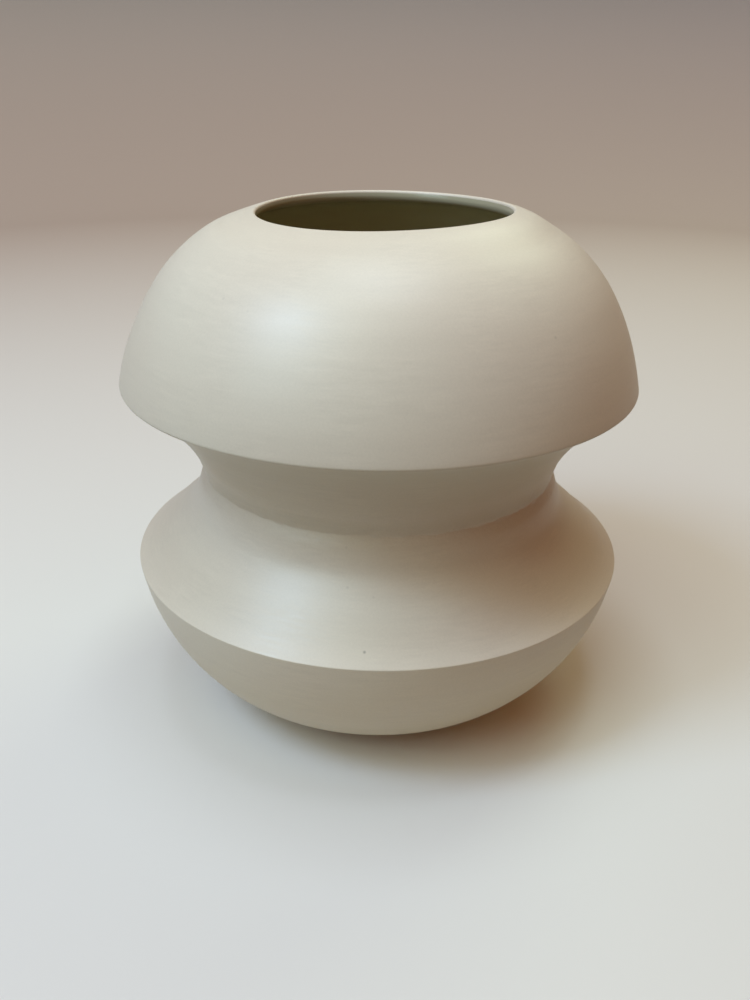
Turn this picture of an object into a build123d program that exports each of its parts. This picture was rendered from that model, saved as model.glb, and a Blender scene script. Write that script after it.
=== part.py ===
from build123d import *

import math
import os

# A stoneware vase of two lobes on a deep waist. It is three thrown sections, a bowl, a collar
# and a dome, luted rim to rim, with a coil worked into each seam from inside and a glaze poured
# over the whole hollow. Sizes are millimetres, the foot stands on z = 0, and Z is the axis that
# every section was thrown on.

# Heights and radii of the outside line, from the foot up. Both lobes were thrown to one gauge,
# and the upper edge stands out past the lower one only by the overhang.
foot_radius = 44.5
foot_height = 2.5
arris_height = 59.8
arris_radius = 95.0
waist_height = 93.5
waist_radius = 68.7
shoulder_height = 130.4
shoulder_overhang = 0.5
total_height = 188.7
mouth_radius = 44.7

# Walls, which thin towards the lip, and the ring that was turned under the bowl.
bowl_wall = 5.0
collar_wall = 4.5
dome_wall = 3.6
foot_ring_width = 6.5
foot_recess = 2.0

# How far the outside line leans in from upright, in degrees, where each stretch of it ends.
bowl_foot_angle = 84.0
bowl_rim_angle = 7.4
collar_foot_angle = 55.5
collar_rim_angle = 60.4
dome_rim_angle = 11.7
dome_lip_angle = 76.2

# Each stretch is two arcs. The share says how the length of the one nearest the rim compares
# with that of the other, so a larger share moves the tighter bend away from the rim.
bowl_share = 1.37
collar_foot_share = 1.84
collar_rim_share = 2.85
dome_share = 0.76

# The outer edges are crisp, with only the roundness that a sponge leaves. The mouth was cut out
# with a needle, and its face has a sponged edge above and a softer one below.
arris_round = 0.4
shoulder_round = 1.1
lip_round = 0.9
lip_under_round = 1.5

# The soft coil pressed into each seam, and the glaze coat, which leaves the mouth clear.
coil_radius = 8.0
glaze_thickness = 0.5


def heading(angle, up):
    """The direction that leans inwards by the angle from straight up or straight down."""
    lean = math.radians(angle)
    return Vector(-math.sin(lean), math.cos(lean) * up)


def outward(angle, up):
    """The direction that points square out of a surface with this heading."""
    lean = math.radians(angle)
    return Vector(math.cos(lean), math.sin(lean) * up)


def meeting_point(start, leaving, end, arriving, share):
    """Where two arcs meet that leave start and arrive at end in the given directions."""
    chord = end - start
    square = 2 * share * (1 - leaving.dot(arriving))
    linear = chord.dot(leaving * share + arriving)
    far_arm = (math.sqrt(linear**2 + square * chord.dot(chord)) - linear) / square
    near_arm = share * far_arm
    near_corner = start + leaving * near_arm
    far_corner = end - arriving * far_arm
    step = far_corner - near_corner
    return near_corner + step * (near_arm / (near_arm + far_arm)), step.normalized()


def draw_bend(start, start_angle, end, end_angle, share, up, inset=0.0):
    """Draws two tangent arcs from a rim at start to end, set in from the outside line by inset."""
    leaving = heading(start_angle, up)
    arriving = heading(end_angle, up)
    meeting, along = meeting_point(start, leaving, end, arriving, share)
    across = Vector(along.Y, -along.X) * up
    first = TangentArc(
        start - outward(start_angle, up) * inset, meeting - across * inset, tangent=leaving
    )
    second = TangentArc(
        meeting - across * inset, end - outward(end_angle, up) * inset, tangent=along
    )
    return first, second


def rounded_rim(radius, height, rounding, angle, up):
    """Where a rounded outer edge ends and the stretch that leans away from it begins."""
    centre = Vector(radius - rounding, height)
    return centre + outward(angle, up) * rounding


def draw_rim(radius, height, rounding, angle, up, wall):
    """Draws a rim: its rounded outer edge, and a line from its seam to the inner face."""
    seam = Vector(radius, height)
    bend_start = rounded_rim(radius, height, rounding, angle, up)
    TangentArc(seam, bend_start, tangent=(0, up))
    Line(seam, bend_start - outward(angle, up) * wall)


shoulder_radius = arris_radius + shoulder_overhang

arris_down = rounded_rim(arris_radius, arris_height, arris_round, bowl_rim_angle, -1)
arris_up = rounded_rim(arris_radius, arris_height, arris_round, collar_foot_angle, 1)
shoulder_down = rounded_rim(
    shoulder_radius, shoulder_height, shoulder_round, collar_rim_angle, -1
)
shoulder_up = rounded_rim(shoulder_radius, shoulder_height, shoulder_round, dome_rim_angle, 1)
foot = Vector(foot_radius, foot_height)
waist = Vector(waist_radius, waist_height)

lip_radius = mouth_radius + glaze_thickness
lip_centre = Vector(lip_radius + lip_round, total_height - lip_round)
lip_outside = lip_centre + outward(dome_lip_angle, 1) * lip_round
mouth_face = Vector(lip_radius, lip_centre.Y)

foot_inside = foot - outward(bowl_foot_angle, -1) * bowl_wall
floor_height = foot_inside.Y

# Each section is drawn whole and then kept between its seams by a rectangle this wide.
clear_width = arris_radius + shoulder_radius

# The bowl's wall, its floor and the foot ring under it, cut level at the rim.
with BuildSketch(Plane.XZ) as bowl_section:
    with BuildLine():
        draw_rim(arris_radius, arris_height, arris_round, bowl_rim_angle, -1, bowl_wall)
        draw_bend(arris_down, bowl_rim_angle, foot, bowl_foot_angle, bowl_share, -1)
        Polyline(
            foot,
            (foot_radius, 0),
            (foot_radius - foot_ring_width, 0),
            (foot_radius - foot_ring_width, foot_recess),
            (0, foot_recess),
            (0, floor_height),
            foot_inside,
        )
        draw_bend(
            arris_down, bowl_rim_angle, foot, bowl_foot_angle, bowl_share, -1, bowl_wall
        )
    make_face()
    Rectangle(clear_width, arris_height, align=Align.MIN, mode=Mode.INTERSECT)

# The collar's wall, from the arris in to the waist and out again to the shoulder.
with BuildSketch(Plane.XZ) as collar_section:
    with BuildLine():
        draw_rim(arris_radius, arris_height, arris_round, collar_foot_angle, 1, collar_wall)
        draw_rim(
            shoulder_radius, shoulder_height, shoulder_round, collar_rim_angle, -1, collar_wall
        )
        for inset in (0, collar_wall):
            draw_bend(
                arris_up, collar_foot_angle, waist, 0, collar_foot_share, 1, inset
            )
            draw_bend(
                shoulder_down, collar_rim_angle, waist, 0, collar_rim_share, -1, inset
            )
    make_face()
    with Locations((0, arris_height)):
        Rectangle(
            clear_width,
            shoulder_height - arris_height,
            align=Align.MIN,
            mode=Mode.INTERSECT,
        )

# The dome's wall, from the shoulder over to the rounded lip and down the mouth's face, which
# ends where the wall's inner line would. That lower corner is the last to be rounded.
with BuildSketch(Plane.XZ) as dome_section:
    with BuildLine():
        draw_rim(shoulder_radius, shoulder_height, shoulder_round, dome_rim_angle, 1, dome_wall)
        for inset in (0, dome_wall):
            draw_bend(
                shoulder_up, dome_rim_angle, lip_outside, dome_lip_angle, dome_share, 1, inset
            )
        TangentArc(lip_outside, mouth_face, tangent=heading(dome_lip_angle, 1))
        Line(mouth_face, lip_outside - outward(dome_lip_angle, 1) * dome_wall)
    make_face()
    mouth_corners = dome_section.vertices().sort_by(Axis.X)[:2]
    fillet(mouth_corners.sort_by(Axis.Y)[0], radius=lip_under_round)
    with Locations((0, shoulder_height)):
        Rectangle(clear_width, total_height, align=Align.MIN, mode=Mode.INTERSECT)

# The space inside the three walls, up to the mouth's face. What lies outside them goes.
with BuildSketch(Plane.XZ) as hollow_section:
    with Locations((0, floor_height)):
        Rectangle(clear_width, lip_centre.Y - floor_height, align=Align.MIN)
    for wall in (bowl_section, collar_section, dome_section):
        add(wall.sketch, mode=Mode.SUBTRACT)
    add(hollow_section.faces().sort_by(Axis.X)[0], mode=Mode.REPLACE)


# A coil fills the corner that two rims leave on the inside, round towards the hollow.
with BuildSketch(Plane.XZ) as lower_coil_section:
    with Locations((arris_radius - bowl_wall, arris_height)):
        Circle(coil_radius)
    add(hollow_section.sketch, mode=Mode.INTERSECT)

with BuildSketch(Plane.XZ) as upper_coil_section:
    with Locations((shoulder_radius - dome_wall, shoulder_height)):
        Circle(coil_radius)
    add(hollow_section.sketch, mode=Mode.INTERSECT)

# What the glaze is poured into: the hollow with its two coils in place.
with BuildSketch(Plane.XZ) as glazed_section:
    add(hollow_section.sketch)
    add(lower_coil_section.sketch, mode=Mode.SUBTRACT)
    add(upper_coil_section.sketch, mode=Mode.SUBTRACT)

# The glaze is the rind of that space, less its strips along the axis and across the mouth.
with BuildSketch(Plane.XZ) as lining_section:
    add(glazed_section.sketch)
    offset(glazed_section.sketch, -glaze_thickness, mode=Mode.SUBTRACT)
    with Locations((0, floor_height + glaze_thickness)):
        Rectangle(mouth_radius / 2, total_height, align=Align.MIN, mode=Mode.SUBTRACT)
    with Locations((0, lip_centre.Y - glaze_thickness)):
        Rectangle(clear_width, total_height, align=Align.MIN, mode=Mode.SUBTRACT)

with BuildPart() as lower_bowl:
    add(bowl_section.sketch)
    revolve(axis=Axis.Z)

with BuildPart() as waist_collar:
    add(collar_section.sketch)
    revolve(axis=Axis.Z)

with BuildPart() as upper_dome:
    add(dome_section.sketch)
    revolve(axis=Axis.Z)

with BuildPart() as lower_seam_coil:
    add(lower_coil_section.sketch)
    revolve(axis=Axis.Z)

with BuildPart() as upper_seam_coil:
    add(upper_coil_section.sketch)
    revolve(axis=Axis.Z)

with BuildPart() as glaze_lining:
    add(lining_section.sketch)
    revolve(axis=Axis.Z)

lower_bowl.part.label = "lower_bowl"
waist_collar.part.label = "waist_collar"
upper_dome.part.label = "upper_dome"
lower_seam_coil.part.label = "lower_seam_coil"
upper_seam_coil.part.label = "upper_seam_coil"
glaze_lining.part.label = "glaze_lining"

os.makedirs("parts", exist_ok=True)
for piece in (
    lower_bowl,
    waist_collar,
    upper_dome,
    lower_seam_coil,
    upper_seam_coil,
    glaze_lining,
):
    export_step(piece.part, f"parts/{piece.part.label}.step")
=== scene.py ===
import bpy
import math
import numpy as np
from mathutils import Matrix, Vector


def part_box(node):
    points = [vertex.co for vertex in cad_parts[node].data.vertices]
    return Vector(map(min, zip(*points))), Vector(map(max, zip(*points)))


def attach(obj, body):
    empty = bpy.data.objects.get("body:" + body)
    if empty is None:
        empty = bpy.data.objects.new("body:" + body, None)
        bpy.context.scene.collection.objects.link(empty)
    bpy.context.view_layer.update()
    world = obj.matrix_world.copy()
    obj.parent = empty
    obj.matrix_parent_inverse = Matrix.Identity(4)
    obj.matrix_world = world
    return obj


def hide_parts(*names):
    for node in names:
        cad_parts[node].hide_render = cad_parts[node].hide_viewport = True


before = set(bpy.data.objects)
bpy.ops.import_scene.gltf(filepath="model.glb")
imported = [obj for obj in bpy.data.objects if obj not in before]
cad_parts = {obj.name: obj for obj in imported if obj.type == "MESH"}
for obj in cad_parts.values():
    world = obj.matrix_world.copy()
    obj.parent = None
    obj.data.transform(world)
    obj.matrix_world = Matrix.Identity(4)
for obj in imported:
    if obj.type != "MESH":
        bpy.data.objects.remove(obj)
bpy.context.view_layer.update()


# Lower bowl
# The lower lobe of the vase: stoneware clay thrown as an open bowl, cut level at its rim and
# turned underneath to a low foot ring. It was sponged smooth and fired bare.
MM = 0.001
arris_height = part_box("lower_bowl")[1].z
arris_radius = 95.0 * MM
arris_round = 0.4 * MM
foot_radius = 44.5 * MM
foot_height = 2.5 * MM
foot_ring_width = 6.5 * MM
foot_recess = 2.0 * MM
bowl_wall = 5.0 * MM
bowl_rim_angle = 7.4
bowl_foot_angle = 84.0
bowl_share = 1.37
waist_height = 93.5 * MM

# How finely a wall is drawn: the gap between its points, the most that it turns from one to the
# next, and the steps of a whole turn. Points nearer than the weld are one point, and an edge
# with a sharper bend than the crisp angle isn't smoothed over.
wall_gap = 1.2 * MM
largest_turn = math.radians(12)
turn_steps = 256
weld = 0.01 * MM
crisp_angle = math.radians(35)


def heading(angle, up):
    """The direction in the wall's section that leans inwards by the angle from upright."""
    lean = math.radians(angle)
    return Vector((-math.sin(lean), math.cos(lean) * up))


def outward(angle, up):
    """The direction that points square out of the wall where it has this heading."""
    lean = math.radians(angle)
    return Vector((math.cos(lean), math.sin(lean) * up))


def bend(start, start_angle, end, end_angle, share, up):
    """The two tangent arcs of a wall's outside line, each as its centre, its radius and its end.
    The radius is negative where the wall is hollow towards its outside."""
    leaving = heading(start_angle, up)
    arriving = heading(end_angle, up)
    chord = end - start
    square = 2 * share * (1 - leaving.dot(arriving))
    linear_part = chord.dot(leaving * share + arriving)
    root = math.sqrt(linear_part**2 + square * chord.dot(chord))
    far_arm = (root - linear_part) / square
    near_arm = share * far_arm
    step = (end - arriving * far_arm) - (start + leaving * near_arm)
    meeting = start + leaving * near_arm + step * (share / (share + 1))
    across = Vector((step.y, -step.x)).normalized() * up
    arcs = []
    for here, after, square_out in (
        (start, meeting, outward(start_angle, up)),
        (meeting, end, across),
    ):
        chord = after - here
        radius = -chord.dot(chord) / (2 * chord.dot(square_out))
        arcs.append((here - square_out * radius, radius, after))
    return arcs


def set_in(point, arc, depth):
    """The point this deep in the wall under a point on the arc of its outside."""
    centre, radius, _ = arc
    return centre + (point - centre) * (1 - depth / radius)


def at_height(height, arc, depth):
    """Where the line this deep under the arc crosses a height, on the vase's outer side."""
    centre, radius, _ = arc
    rise = height - centre.y
    run = math.sqrt((radius - depth) ** 2 - rise**2)
    return Vector((centre.x + math.copysign(run, radius), height))


def draw_section(name, start, strokes, gap):
    """Draws a wall's section from a point, in strokes that each have an end and a centre, with
    points at most a gap apart. A straight stroke has None for its centre and is one edge."""
    bpy.ops.object.select_all(action="DESELECT")
    bpy.ops.mesh.primitive_plane_add(size=MM, location=(start.x, 0, start.y))
    piece = bpy.context.object
    piece.name = name
    piece.data.name = name
    bpy.ops.object.mode_set(mode="EDIT")
    bpy.ops.mesh.select_all(action="SELECT")
    bpy.ops.mesh.merge(type="CENTER")
    here = start
    for end, centre in strokes:
        if centre is None:
            step = end - here
            bpy.ops.mesh.extrude_region_move(
                TRANSFORM_OT_translate={"value": (step.x, 0, step.y)}
            )
        else:
            turn = -(here - centre).angle_signed(end - centre)
            length = abs(turn) * (end - centre).length
            steps = max(math.ceil(length / gap), math.ceil(abs(turn) / largest_turn))
            bpy.ops.mesh.spin(
                steps=steps, angle=turn, center=(centre.x, 0, centre.y), axis=(0, 1, 0)
            )
        here = end
    return piece


def turn_round(piece):
    """Turns a drawn section once round the vase's axis into a closed skin that faces out."""
    bpy.ops.mesh.select_all(action="SELECT")
    bpy.ops.mesh.remove_doubles(threshold=weld)
    bpy.ops.object.mode_set(mode="OBJECT")
    bpy.ops.object.transform_apply()
    bpy.ops.object.modifier_add(type="SCREW")
    wheel = piece.modifiers[-1]
    wheel.axis = "Z"
    wheel.angle = math.tau
    wheel.screw_offset = 0
    wheel.steps = turn_steps
    wheel.render_steps = turn_steps
    wheel.use_merge_vertices = True
    wheel.merge_threshold = weld
    bpy.ops.object.modifier_apply(modifier=wheel.name)
    bpy.ops.object.mode_set(mode="EDIT")
    bpy.ops.mesh.select_all(action="SELECT")
    bpy.ops.mesh.remove_doubles(threshold=weld)
    bpy.ops.mesh.normals_make_consistent(inside=False)
    bpy.ops.object.mode_set(mode="OBJECT")
    bpy.ops.object.shade_smooth_by_angle(angle=crisp_angle)


# What hands leave on the pot. The collar swells a little on its flare and just under the waist,
# and the waist is pinched in to a crease, further up than down.
flare_swell = 0.9 * MM
flare_swell_height = 69 * MM
flare_swell_reach = 6.5 * MM
neck_swell = 0.45 * MM
neck_swell_height = 86.5 * MM
neck_swell_reach = 4 * MM
waist_pinch = 0.9 * MM
pinch_reach_down = 4 * MM
pinch_reach_up = 6.5 * MM
waist_lift = 0.5 * MM
waist_lift_reach = 4 * MM

# Each section adds its own lean, in degrees up towards the right, which grows over a stretch of
# the height. The dome and the lip also stand off the axis, and the lip waves up and down.
bowl_lean = -0.5
bowl_leans_to = 60 * MM
collar_lean = 0.2
collar_leans_to = 131 * MM
dome_lean = 0.3
dome_leans_to = 165 * MM
dome_shift = 0.6 * MM
lip_lean = 0.7
lip_leans_from = 182.4 * MM
lip_leans_to = 188.2 * MM
lip_shift = 0.8 * MM
lip_wave = 0.4 * MM


def ease(low, high, values):
    """Rises smoothly from 0 at low to 1 at high."""
    share = np.clip((values - low) / (high - low), 0, 1)
    return share * share * (3 - 2 * share)


def hump(values, middle, reach):
    """A round hump, 1 at the middle and nearly gone at twice this reach from it."""
    return np.exp(-(((values - middle) / reach) ** 2))


def shape_by_hand(piece):
    """Moves a thrown piece's points by what hands leave on it, alike for every piece at a seam."""
    points = np.empty(len(piece.data.vertices) * 3)
    piece.data.vertices.foreach_get("co", points)
    x, y, z = points.reshape(-1, 3).T
    over_waist = z - waist_height
    pinch_reach = np.where(over_waist < 0, pinch_reach_down, pinch_reach_up)
    pinched = waist_pinch * np.clip(1 - np.abs(over_waist) / pinch_reach, 0, 1)
    swollen = flare_swell * hump(z, flare_swell_height, flare_swell_reach)
    swollen += neck_swell * hump(z, neck_swell_height, neck_swell_reach)
    wider = 1 + (swollen - pinched) / np.maximum(np.hypot(x, y), foot_radius)
    on_dome = ease(collar_leans_to, dome_leans_to, z)
    at_lip = ease(lip_leans_from, lip_leans_to, z)
    lean = bowl_lean * ease(0, bowl_leans_to, z)
    lean += collar_lean * ease(bowl_leans_to, collar_leans_to, z)
    lean += dome_lean * on_dome + lip_lean * at_lip
    shifted = dome_shift * on_dome + lip_shift * at_lip
    raised = np.tan(np.radians(lean)) * x
    raised += waist_lift * hump(over_waist, 0, waist_lift_reach)
    raised -= lip_wave * np.sin(2 * np.arctan2(y, x)) * at_lip
    moved = np.stack((x * wider + shifted, y * wider, z + raised), axis=1)
    piece.data.vertices.foreach_set("co", moved.ravel())
    piece.data.update()


arris = Vector((arris_radius, arris_height))
arris_centre = arris - Vector((arris_round, 0))
foot = Vector((foot_radius, foot_height))
bowl_start = arris_centre + outward(bowl_rim_angle, -1) * arris_round
bowl_arcs = bend(bowl_start, bowl_rim_angle, foot, bowl_foot_angle, bowl_share, -1)
bowl_upper, bowl_lower = bowl_arcs
bowl_rim_inside = at_height(arris_height, bowl_upper, bowl_wall)
bowl_middle_inside = set_in(bowl_upper[2], bowl_upper, bowl_wall)
bowl_foot_inside = set_in(foot, bowl_lower, bowl_wall)
floor_height = bowl_foot_inside.y
lower_bowl = draw_section(
    "lower_bowl_clay",
    Vector((0, floor_height)),
    [
        (bowl_foot_inside, None),
        (bowl_middle_inside, bowl_lower[0]),
        (bowl_rim_inside, bowl_upper[0]),
        (arris, None),
        (bowl_start, arris_centre),
        (bowl_upper[2], bowl_upper[0]),
        (foot, bowl_lower[0]),
        (Vector((foot_radius, 0)), None),
        (Vector((foot_radius - foot_ring_width, 0)), None),
        (Vector((foot_radius - foot_ring_width, foot_recess)), None),
        (Vector((0, foot_recess)), None),
    ],
    wall_gap,
)
turn_round(lower_bowl)
shape_by_hand(lower_bowl)


def linear(hex_colour):
    """An sRGB hex colour as linear red, green, blue and alpha."""
    levels = [int(hex_colour[i : i + 2], 16) / 255 for i in (1, 3, 5)]
    return [v / 12.92 if v <= 0.04045 else ((v + 0.055) / 1.055) ** 2.4 for v in levels] + [1]


def add_node(material, kind, links=None, **settings):
    """Adds a node to the material, sets its values and links its inputs. An input is given by
    name, or by number on a node such as Mix, whose names repeat."""
    tree = material.node_tree
    node = tree.nodes.new(kind)
    for name, value in settings.items():
        setattr(node, name, value)
    for name, value in (links or {}).items():
        if isinstance(value, bpy.types.NodeSocket):
            tree.links.new(value, node.inputs[name])
        else:
            node.inputs[name].default_value = value
    return node


def wheel_marks(material, length, width, detail):
    """Noise drawn out round the axis, in marks about this long round the vase and this wide."""
    place = add_node(material, "ShaderNodeTexCoord").outputs["Object"]
    outwards = add_node(
        material, "ShaderNodeVectorMath", {0: place, 1: (1, 1, 0)}, operation="MULTIPLY"
    ).outputs["Vector"]
    reach = add_node(material, "ShaderNodeVectorMath", {0: outwards}, operation="LENGTH")
    facing = add_node(material, "ShaderNodeVectorMath", {0: outwards}, operation="NORMALIZE")
    risen = add_node(
        material, "ShaderNodeVectorMath", {0: place, 1: (0, 0, 1 / width)}, operation="MULTIPLY"
    )
    spot = add_node(
        material,
        "ShaderNodeVectorMath",
        {
            0: facing.outputs["Vector"],
            1: (arris_radius / length,) * 3,
            2: risen.outputs["Vector"],
        },
        operation="MULTIPLY_ADD",
    )
    apart = add_node(
        material, "ShaderNodeMath", {0: reach.outputs["Value"], 1: 1 / width}, operation="MULTIPLY"
    )
    return add_node(
        material,
        "ShaderNodeTexNoise",
        {
            "Vector": spot.outputs["Vector"],
            "W": apart.outputs["Value"],
            "Scale": 1.0,
            "Detail": detail,
        },
        noise_dimensions="4D",
    ).outputs["Fac"]


def shaded(material, tone, value, low, high, start, end):
    """The tone times a factor that goes from start to end as the value goes from low to high."""
    factor = add_node(
        material,
        "ShaderNodeMapRange",
        {"Value": value, "From Min": low, "From Max": high, "To Min": start, "To Max": end},
    )
    return add_node(
        material,
        "ShaderNodeVectorMath",
        {0: tone, 3: factor.outputs["Result"]},
        operation="SCALE",
    ).outputs["Vector"]


# Bare stoneware: a fine pale body with a little iron, fired unglazed. Its tone drifts slowly from
# cream to a greyer white, and the throwing and the sponge have left faint rings and, in dabs a
# couple of centimetres wide, short dry drag marks round it. Packed smooth, it has a satin sheen.
# Its grit is finer than the size given here, which is as coarse as it needs to be to show.
drift_size = 45 * MM
dab_size = 18 * MM
fray_size = 4 * MM
grit_size = 0.7 * MM
ring_length = 110 * MM
ring_width = 4.5 * MM
mark_length = 9 * MM
mark_width = 1.2 * MM
sponged_stoneware = bpy.data.materials.new("sponged_stoneware")
sponged_stoneware.use_nodes = True
sponged_stoneware.node_tree.nodes.clear()
clay_place = add_node(sponged_stoneware, "ShaderNodeTexCoord").outputs["Object"]
drift, dabs, fray, grain = (
    add_node(
        sponged_stoneware,
        "ShaderNodeTexNoise",
        {"Vector": clay_place, "Scale": 1 / size, "Detail": detail},
    ).outputs["Fac"]
    for size, detail in ((drift_size, 2.0), (dab_size, 1.0), (fray_size, 3.0), (grit_size, 2.0))
)
throwing_rings = wheel_marks(sponged_stoneware, ring_length, ring_width, 1.0)
dragged = wheel_marks(sponged_stoneware, mark_length, mark_width, 3.0)

# A noise keeps nearly all of itself between low and high, and the middle stands for no mark. The
# drag marks are a tenth as strong between the dabs as in them.
noise_low = 0.3
noise_middle = 0.5
noise_high = 0.7
dab_edge = 0.08
off_dabs = 0.1
in_dabs = add_node(
    sponged_stoneware,
    "ShaderNodeMapRange",
    {
        "Value": dabs,
        "From Min": noise_middle - dab_edge,
        "From Max": noise_middle + dab_edge,
        "To Min": off_dabs,
    },
)
drag_marks = add_node(
    sponged_stoneware,
    "ShaderNodeMix",
    {0: in_dabs.outputs["Result"], 2: noise_middle, 3: dragged},
    data_type="FLOAT",
).outputs[0]
drifted = add_node(
    sponged_stoneware,
    "ShaderNodeMapRange",
    {"Value": drift, "From Min": noise_low, "From Max": noise_high},
)
clay_tone = add_node(
    sponged_stoneware,
    "ShaderNodeMix",
    {0: drifted.outputs["Result"], 6: linear("#DCD3C5"), 7: linear("#DED7C9")},
    data_type="RGBA",
).outputs[2]
for marks, strength in ((throwing_rings, 0.012), (drag_marks, 0.03), (grain, 0.02)):
    clay_tone = shaded(
        sponged_stoneware, clay_tone, marks, noise_low, noise_high, 1 - strength, 1 + strength
    )

# Pinholes, where a bubble or a bit of grit came out of the clay. The holes aren't modelled: each
# is a darker spot of painted shade. Each has its place and radius in millimetres, and the share of
# the light that its painted shade takes off. The inner third is its floor.
for pinhole, radius, painted_shade in (
    ((-3.9, -90.1, 63.5), 0.75, 0.55),
    ((-54.6, -66.1, 67.7), 0.7, 0.14),
    ((-35.4, -73.5, 71.3), 0.7, 0.08),
    ((-10.3, -68.2, 90.1), 0.7, 0.12),
    ((-9.8, -74.2, 78.2), 0.7, 0.12),
    ((-1.2, -76.7, 76.0), 0.6, 0.1),
    ((-47.3, -59.4, 170.7), 0.7, 0.09),
    ((-39.1, -67.1, 168.8), 0.6, 0.07),
    ((53.2, -64.8, 161.0), 0.7, 0.12),
):
    off = add_node(
        sponged_stoneware,
        "ShaderNodeVectorMath",
        {0: clay_place, 1: Vector(pinhole) * MM},
        operation="DISTANCE",
    ).outputs["Value"]
    clay_tone = shaded(
        sponged_stoneware, clay_tone, off, radius * MM / 3, radius * MM, 1 - painted_shade, 1
    )

# The relief: the crease round the waist, which frays as it follows the lean of the vase, and the
# rings, the marks and the grain. The marks are deeper by the crease, where no sponge got in.
crease_height = 94.0 * MM
crease_lean = 0.007
crease_fray = 2.4 * MM
crease_reach = 7 * MM
crease_depth = 0.9 * MM
sponge_from = 4 * MM
sponge_to = 14 * MM
sponged_strength = 0.3
ring_depth = 0.05 * MM
mark_depth = 0.04 * MM
grit_depth = 0.006 * MM
clay_height = add_node(
    sponged_stoneware,
    "ShaderNodeVectorMath",
    {0: clay_place, 1: (crease_lean, 0, 1)},
    operation="DOT_PRODUCT",
).outputs["Value"]
frayed_height = add_node(
    sponged_stoneware,
    "ShaderNodeMath",
    {0: fray, 1: crease_fray, 2: clay_height},
    operation="MULTIPLY_ADD",
).outputs["Value"]
over_crease = add_node(
    sponged_stoneware,
    "ShaderNodeMath",
    {0: frayed_height, 1: crease_height + crease_fray * noise_middle},
    operation="SUBTRACT",
).outputs["Value"]
off_crease = add_node(
    sponged_stoneware, "ShaderNodeMath", {0: over_crease}, operation="ABSOLUTE"
).outputs["Value"]
by_crease = add_node(
    sponged_stoneware,
    "ShaderNodeMapRange",
    {"Value": off_crease, "From Min": 0, "From Max": crease_reach, "To Min": 1, "To Max": 0},
).outputs["Result"]
crease = add_node(
    sponged_stoneware, "ShaderNodeMath", {0: by_crease, 1: by_crease}, operation="MULTIPLY"
).outputs["Value"]
mark_strength = add_node(
    sponged_stoneware,
    "ShaderNodeMapRange",
    {
        "Value": off_crease,
        "From Min": sponge_from,
        "From Max": sponge_to,
        "To Min": 1,
        "To Max": sponged_strength,
    },
).outputs["Result"]
clay_relief = None
for marks, depth, strength in (
    (crease, -crease_depth, 1.0),
    (throwing_rings, ring_depth, 1.0),
    (drag_marks, mark_depth, mark_strength),
    (grain, grit_depth, 1.0),
):
    bump = {"Height": marks, "Strength": strength, "Distance": depth}
    if clay_relief is not None:
        bump["Normal"] = clay_relief
    clay_relief = add_node(sponged_stoneware, "ShaderNodeBump", bump).outputs["Normal"]

# Drag marks are the driest part of the skin, so the sheen is a little duller in them.
clay_roughness = add_node(
    sponged_stoneware,
    "ShaderNodeMapRange",
    {
        "Value": drag_marks,
        "From Min": noise_low,
        "From Max": noise_high,
        "To Min": 0.38,
        "To Max": 0.46,
    },
)
clay = add_node(
    sponged_stoneware,
    "ShaderNodeBsdfPrincipled",
    {
        "Base Color": clay_tone,
        "Roughness": clay_roughness.outputs["Result"],
        "Normal": clay_relief,
        "IOR": 1.6,
    },
)
add_node(sponged_stoneware, "ShaderNodeOutputMaterial", {"Surface": clay.outputs["BSDF"]})
lower_bowl.data.materials.append(sponged_stoneware)
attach(lower_bowl, "root")
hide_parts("lower_bowl")


# Waist collar
# The wall between the two crisp edges, thrown as a separate ring that draws in to the waist
# and flares out again, and luted level on the bowl's rim. The same bare clay.
shoulder_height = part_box("waist_collar")[1].z
shoulder_radius = 95.5 * MM
shoulder_round = 1.1 * MM
waist_radius = 68.7 * MM
collar_wall = 4.5 * MM
collar_foot_angle = 55.5
collar_rim_angle = 60.4
collar_foot_share = 1.84
collar_rim_share = 2.85
crease_gap = 0.75 * MM
waist = Vector((waist_radius, waist_height))
shoulder = Vector((shoulder_radius, shoulder_height))
shoulder_centre = shoulder - Vector((shoulder_round, 0))
flare_start = arris_centre + outward(collar_foot_angle, 1) * arris_round
under_start = shoulder_centre + outward(collar_rim_angle, -1) * shoulder_round
flare_outer, flare_inner = bend(
    flare_start, collar_foot_angle, waist, 0, collar_foot_share, 1
)
under_outer, under_inner = bend(
    under_start, collar_rim_angle, waist, 0, collar_rim_share, -1
)
collar_foot_inside = at_height(arris_height, flare_outer, collar_wall)
collar_rim_inside = at_height(shoulder_height, under_outer, collar_wall)
waist_collar = draw_section(
    "waist_collar_clay",
    arris,
    [
        (flare_start, arris_centre),
        (flare_outer[2], flare_outer[0]),
        (waist, flare_inner[0]),
        (under_outer[2], under_inner[0]),
        (under_start, under_outer[0]),
        (shoulder, shoulder_centre),
        (collar_rim_inside, None),
        (set_in(under_outer[2], under_outer, collar_wall), under_outer[0]),
        (set_in(waist, under_inner, collar_wall), under_inner[0]),
        (set_in(flare_outer[2], flare_outer, collar_wall), flare_inner[0]),
        (collar_foot_inside, flare_outer[0]),
        (arris, None),
    ],
    crease_gap,
)
turn_round(waist_collar)
shape_by_hand(waist_collar)
waist_collar.data.materials.append(sponged_stoneware)
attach(waist_collar, "root")
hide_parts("waist_collar")


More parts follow.
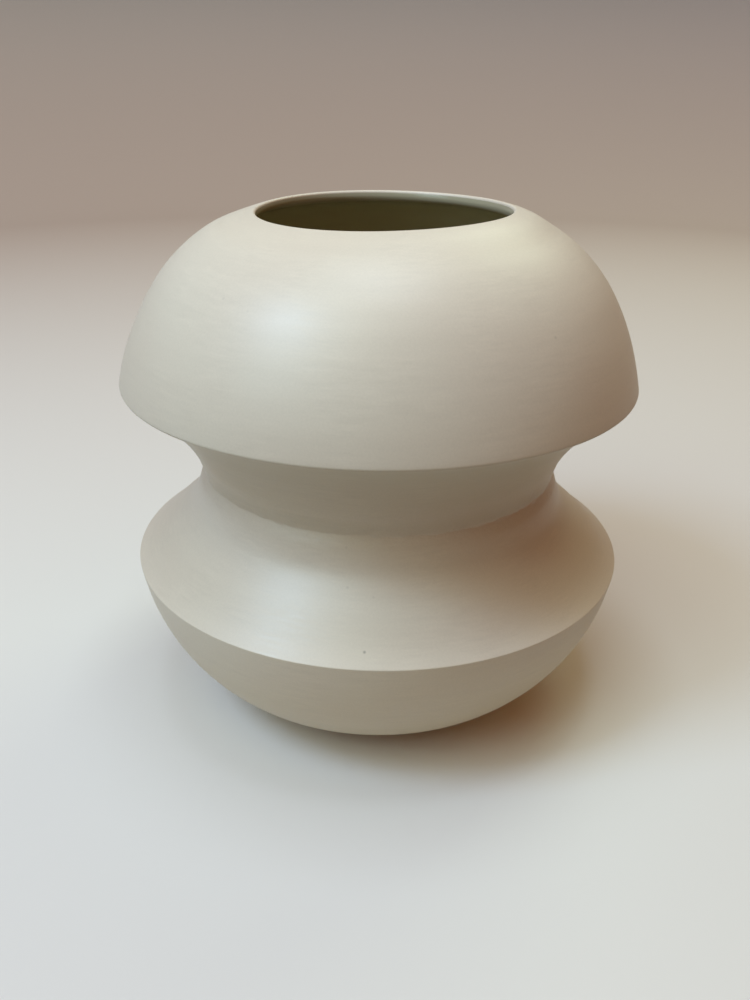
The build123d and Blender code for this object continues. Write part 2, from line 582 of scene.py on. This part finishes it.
# Upper dome
# The upper lobe, thrown as a closing dome and luted on the collar's rim. The mouth was cut out
# with a needle and its edges were sponged. It sits a little askew, as the photograph's does.
lip_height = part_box("upper_dome")[1].z
mouth_radius = 44.7 * MM
glaze_thickness = 0.5 * MM
dome_wall = 3.6 * MM
dome_rim_angle = 11.7
dome_lip_angle = 76.2
dome_share = 0.76
lip_round = 0.9 * MM
lip_under_round = 1.5 * MM
lip_radius = mouth_radius + glaze_thickness
lip_centre = Vector((lip_radius + lip_round, lip_height - lip_round))
lip_outside = lip_centre + outward(dome_lip_angle, 1) * lip_round
dome_start = shoulder_centre + outward(dome_rim_angle, 1) * shoulder_round
dome_lower, dome_upper = bend(
    dome_start, dome_rim_angle, lip_outside, dome_lip_angle, dome_share, 1
)
dome_rim_inside = at_height(shoulder_height, dome_lower, dome_wall)

# The mouth's face runs down from the rounded lip towards where the wall's inner line would end,
# and turns into that line round the lower edge.
dome_centre, dome_radius, _ = dome_upper
face_top = Vector((lip_radius, lip_centre.y))
face_corner = lip_outside - outward(dome_lip_angle, 1) * dome_wall
face_down = (face_corner - face_top).normalized()
face_in = Vector((-face_down.y, face_down.x))
under_reach = dome_radius - dome_wall + lip_under_round
from_dome = face_top + face_in * lip_under_round - dome_centre
along = from_dome.dot(face_down)
face_length = -along - math.sqrt(along**2 - from_dome.dot(from_dome) + under_reach**2)
face_end = face_top + face_down * face_length
lip_under_centre = face_end + face_in * lip_under_round


def under_lip(depth):
    """Where the line this deep under the dome leaves it to turn round the lip's lower edge."""
    return dome_centre + (lip_under_centre - dome_centre).normalized() * (dome_radius - depth)


upper_dome = draw_section(
    "upper_dome_clay",
    shoulder,
    [
        (dome_start, shoulder_centre),
        (dome_lower[2], dome_lower[0]),
        (lip_outside, dome_upper[0]),
        (face_top, lip_centre),
        (face_end, None),
        (under_lip(dome_wall), lip_under_centre),
        (set_in(dome_lower[2], dome_lower, dome_wall), dome_upper[0]),
        (dome_rim_inside, dome_lower[0]),
        (shoulder, None),
    ],
    wall_gap,
)
turn_round(upper_dome)
shape_by_hand(upper_dome)
upper_dome.data.materials.append(sponged_stoneware)
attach(upper_dome, "root")
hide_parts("upper_dome")


# Seam coils
# Soft rolls of the same clay, pressed with a finger into the inside corner of each seam to key
# the two sections together. They lie behind the glaze.
coil_radius = 8.0 * MM
coil_gap = 2.0 * MM


def coil_meets(arc, depth, centre, radius, above):
    """Where the line this deep under the arc meets a coil's round face, above or below it."""
    wall_centre, wall_radius, _ = arc
    wall_reach = abs(wall_radius) - math.copysign(depth, wall_radius)
    span = centre - wall_centre
    along = (wall_reach**2 - radius**2 + span.dot(span)) / (2 * span.length)
    aside = math.sqrt(wall_reach**2 - along**2)
    foot_point = wall_centre + span.normalized() * along
    side = Vector((-span.y, span.x)).normalized() * aside
    ends = sorted((foot_point + side, foot_point - side), key=lambda point: point.y)
    return ends[above]


lower_coil = Vector((arris_radius - bowl_wall, arris_height))
upper_coil = Vector((shoulder_radius - dome_wall, shoulder_height))
coil_on_bowl = coil_meets(bowl_upper, bowl_wall, lower_coil, coil_radius, False)
coil_on_flare = coil_meets(flare_outer, collar_wall, lower_coil, coil_radius, True)
coil_on_under = coil_meets(under_outer, collar_wall, upper_coil, coil_radius, False)
coil_on_dome = coil_meets(dome_lower, dome_wall, upper_coil, coil_radius, True)
for node, start, strokes in (
    (
        "lower_seam_coil",
        coil_on_bowl,
        [
            (coil_on_flare, lower_coil),
            (collar_foot_inside, flare_outer[0]),
            (bowl_rim_inside, None),
            (coil_on_bowl, bowl_upper[0]),
        ],
    ),
    (
        "upper_seam_coil",
        coil_on_under,
        [
            (coil_on_dome, upper_coil),
            (dome_rim_inside, dome_lower[0]),
            (collar_rim_inside, None),
            (coil_on_under, under_outer[0]),
        ],
    ),
):
    coil = draw_section(node + "_clay", start, strokes, coil_gap)
    turn_round(coil)
    shape_by_hand(coil)
    coil.data.materials.append(sponged_stoneware)
    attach(coil, "root")
    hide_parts(node)


# Glaze lining
# A coat of glaze poured over the whole inside and tipped out again. It runs smooth over the
# coils, is glossier than the clay, and thins out on the mouth's face.
glaze_feather = 1.0 * MM
lining_gap = 2.0 * MM


def hollow_strokes(depth):
    """The strokes of the hollow's face from the floor up to the dome, this far off the clay."""
    coil = coil_radius + depth
    flare = collar_wall + depth
    return [
        (set_in(foot, bowl_lower, bowl_wall + depth), None),
        (set_in(bowl_upper[2], bowl_upper, bowl_wall + depth), bowl_lower[0]),
        (coil_meets(bowl_upper, bowl_wall + depth, lower_coil, coil, False), bowl_upper[0]),
        (coil_meets(flare_outer, flare, lower_coil, coil, True), lower_coil),
        (set_in(flare_outer[2], flare_outer, flare), flare_outer[0]),
        (set_in(waist, flare_inner, flare), flare_inner[0]),
        (set_in(under_outer[2], under_inner, flare), under_inner[0]),
        (coil_meets(under_outer, flare, upper_coil, coil, False), under_outer[0]),
        (coil_meets(dome_lower, dome_wall + depth, upper_coil, coil, True), upper_coil),
        (set_in(dome_lower[2], dome_lower, dome_wall + depth), dome_lower[0]),
    ]


clay_side = hollow_strokes(0)
glaze_side = hollow_strokes(glaze_thickness)
way_back = []
for (_, centre), (end, _) in zip(reversed(glaze_side), reversed(glaze_side[:-1])):
    way_back.append((end, centre))
glaze_lining = draw_section(
    "liner_glaze_coat",
    Vector((0, floor_height)),
    [
        *clay_side,
        (under_lip(dome_wall), dome_upper[0]),
        (face_end, lip_under_centre),
        (face_top, None),
        (face_top + face_down * glaze_feather - face_in * glaze_thickness, None),
        (face_end - face_in * glaze_thickness, None),
        (under_lip(dome_wall + glaze_thickness), lip_under_centre),
        (glaze_side[-1][0], dome_upper[0]),
        *way_back,
        (Vector((0, floor_height + glaze_thickness)), None),
    ],
    lining_gap,
)
turn_round(glaze_lining)
shape_by_hand(glaze_lining)

# A clear grey-green glaze: greyer where it's thin on the mouth's face, and painted darker there as
# painted shade of that half-shaded band; a warmer straw colour where it pooled further down. It's
# glossy, a little dulled by the fire.
thick_below = 182 * MM
thin_and_shaded_above = 185.5 * MM
poured_glaze = bpy.data.materials.new("poured_glaze")
poured_glaze.use_nodes = True
poured_glaze.node_tree.nodes.clear()
glaze_place = add_node(poured_glaze, "ShaderNodeTexCoord").outputs["Object"]
glaze_height = add_node(poured_glaze, "ShaderNodeSeparateXYZ", {0: glaze_place}).outputs["Z"]
thin_and_shaded = add_node(
    poured_glaze,
    "ShaderNodeMapRange",
    {"Value": glaze_height, "From Min": thick_below, "From Max": thin_and_shaded_above},
)
# The mouth's face gets the darker tone: a greyer glaze with painted shade in it.
glaze_tone = add_node(
    poured_glaze,
    "ShaderNodeMix",
    {0: thin_and_shaded.outputs["Result"], 6: linear("#C2BA98"), 7: linear("#A29E89")},
    data_type="RGBA",
).outputs[2]
glaze = add_node(
    poured_glaze,
    "ShaderNodeBsdfPrincipled",
    {"Base Color": glaze_tone, "Roughness": 0.2, "IOR": 1.52},
)
add_node(poured_glaze, "ShaderNodeOutputMaterial", {"Surface": glaze.outputs["BSDF"]})
glaze_lining.data.materials.append(poured_glaze)
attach(glaze_lining, "root")
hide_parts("glaze_lining")


# Floor and backdrop
# A wide pale sheet under the vase that curves up far away on every side.
cove_radius = 1.2
cove_steps = 9
cove_stride = 0.06
bpy.ops.object.select_all(action="DESELECT")
bpy.ops.mesh.primitive_circle_add(vertices=128, radius=cove_radius, fill_type="NGON")
cove = bpy.context.object
cove.name = "studio_floor"
bpy.ops.object.mode_set(mode="EDIT")
bpy.ops.mesh.select_all(action="SELECT")
for step in range(1, cove_steps + 1):
    steepness = math.radians(90 * step / cove_steps)
    bpy.ops.mesh.extrude_edges_move(
        TRANSFORM_OT_translate={"value": (0, 0, cove_stride * math.sin(steepness))}
    )
    grown = 1 + cove_stride * math.cos(steepness)
    bpy.ops.transform.resize(value=(grown, grown, 1))
bpy.ops.object.mode_set(mode="OBJECT")
bpy.ops.object.shade_smooth()


def seen(material):
    """1 for what the camera sees, straight or in a gloss or through glass, and 0 for light that
    only falls on things."""
    rays = add_node(material, "ShaderNodeLightPath").outputs
    seen_in_gloss = add_node(
        material,
        "ShaderNodeMath",
        {0: rays["Is Camera Ray"], 1: rays["Is Glossy Ray"]},
        operation="MAXIMUM",
    ).outputs["Value"]
    return add_node(
        material,
        "ShaderNodeMath",
        {0: seen_in_gloss, 1: rays["Is Transmission Ray"]},
        operation="MAXIMUM",
    ).outputs["Value"]


# Matt paper. What shows of it is pale, while what it sends back on to the vase is a warm light
# near the foot and hardly any from further out.
warm_within = 110 * MM
dark_beyond = 340 * MM
floor_paper = bpy.data.materials.new("floor_paper")
floor_paper.use_nodes = True
floor_paper.node_tree.nodes.clear()
floor_place = add_node(floor_paper, "ShaderNodeTexCoord").outputs["Object"]
far_off = add_node(floor_paper, "ShaderNodeVectorMath", {0: floor_place}, operation="LENGTH")
far_share = add_node(
    floor_paper,
    "ShaderNodeMapRange",
    {"Value": far_off.outputs["Value"], "From Min": warm_within, "From Max": dark_beyond},
)
bounced = add_node(
    floor_paper,
    "ShaderNodeMix",
    {0: far_share.outputs["Result"], 6: linear("#D2CCBA"), 7: linear("#1D1D19")},
    data_type="RGBA",
)
paper_tone = add_node(
    floor_paper,
    "ShaderNodeMix",
    {0: seen(floor_paper), 6: bounced.outputs[2], 7: linear("#E2E3E3")},
    data_type="RGBA",
)
paper = add_node(
    floor_paper,
    "ShaderNodeBsdfPrincipled",
    {"Base Color": paper_tone.outputs[2], "Roughness": 0.8},
)
add_node(floor_paper, "ShaderNodeOutputMaterial", {"Surface": paper.outputs["BSDF"]})
cove.data.materials.append(floor_paper)


# Light
# Soft cool light from the upper left, in a small lamp and a wider one below it, with wide lamps
# in front, overhead and behind on the right, and a dim warm surround.
lamp_distance = 1.3
lamp_target = Vector((0, 0, 100 * MM))


def soft_lamp(name, turned, raised, size, colour, watts):
    """A square lamp that faces the vase, turned from the camera's side towards the right and
    raised from the level, both in degrees."""
    side = math.radians(turned)
    rise = math.radians(raised)
    towards = Vector(
        (math.sin(side) * math.cos(rise), -math.cos(side) * math.cos(rise), math.sin(rise))
    )
    bpy.ops.object.light_add(type="AREA", location=lamp_target + towards * lamp_distance)
    lamp = bpy.context.object
    lamp.name = name
    lamp.data.shape = "SQUARE"
    lamp.data.size = size
    lamp.data.color = linear(colour)[:3]
    lamp.data.energy = watts
    lamp.rotation_euler = towards.to_track_quat("Z", "Y").to_euler()


soft_lamp("window_lamp", -60, 51, 0.36, "#BADAFF", 6.1)
soft_lamp("window_foot_lamp", -50, 34, 0.62, "#C8F4FF", 2.05)
soft_lamp("room_lamp", -38, 54, 0.9, "#EAFFEC", 5.71)
soft_lamp("ceiling_lamp", 0, 89, 0.55, "#E3F6FF", 5.39)
soft_lamp("back_lamp", 145, 45, 0.6, "#EAFAD6", 3.1)
surround = bpy.data.worlds.new("studio_surround")
surround.use_nodes = True
surround.node_tree.nodes.clear()
surround_tone = add_node(
    surround,
    "ShaderNodeMix",
    {0: seen(surround), 6: linear("#90551A"), 7: linear("#8F857F")},
    data_type="RGBA",
)
room = add_node(
    surround, "ShaderNodeBackground", {"Color": surround_tone.outputs[2], "Strength": 1.0}
)
add_node(surround, "ShaderNodeOutputWorld", {"Surface": room.outputs["Background"]})
bpy.context.scene.world = surround


# Camera
# A phone held about forty centimetres off and a little above the mouth, looking down. Its lens
# is given as a share of the sensor's width.
camera_distance = 340.5 * MM
camera_height = 239.3 * MM
pitch_down = math.radians(25.8)
turn_left = math.radians(0.197)
roll = math.radians(0.42)
sensor_width = 36
lens_share = 0.9347
nearest_seen = 10 * MM
bpy.ops.object.camera_add(location=(0, -camera_distance, camera_height))
camera = bpy.context.object
camera.rotation_euler = (
    Matrix.Rotation(turn_left, 3, "Z")
    @ Matrix.Rotation(math.pi / 2 - pitch_down, 3, "X")
    @ Matrix.Rotation(roll, 3, "Z")
).to_euler()
camera.data.sensor_width = sensor_width
camera.data.lens = sensor_width * lens_share
camera.data.clip_start = nearest_seen
bpy.context.scene.camera = camera
bpy.context.scene.view_settings.view_transform = "Standard"
